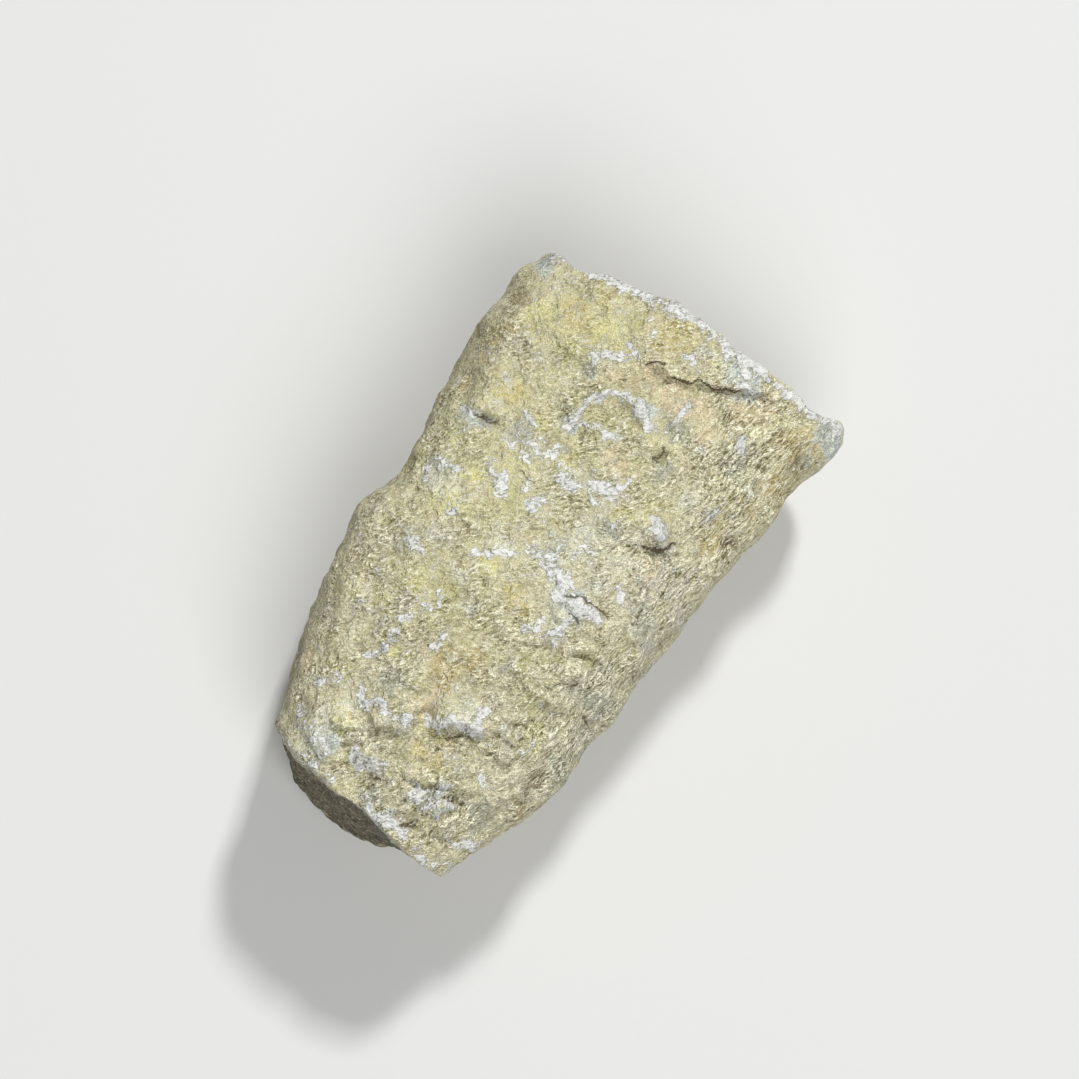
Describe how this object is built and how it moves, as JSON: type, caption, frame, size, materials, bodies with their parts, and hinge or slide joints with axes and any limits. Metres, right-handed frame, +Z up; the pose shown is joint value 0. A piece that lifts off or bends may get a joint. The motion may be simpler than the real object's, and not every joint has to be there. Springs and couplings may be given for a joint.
{
  "type": "crinoid fossil",
  "caption": "Tapered chunk of weathered tan limestone holding a crinoid fossil, broken across at both ends, lying on its rounded back.",
  "frame": {"origin": "under the middle of the bounding box, on the surface the stone rests on", "axes": "+X along the stone to its wide end, +Y to its left side seen from the narrow end, +Z up through the face the fossil shows"},
  "size_m": [0.0516, 0.032, 0.0202],
  "materials": {
    "limestone": "matte, weathered, finely grainy"
  },
  "bodies": {
    "root": {"crinoid_fossil": "limestone"}
  },
  "joints": []
}
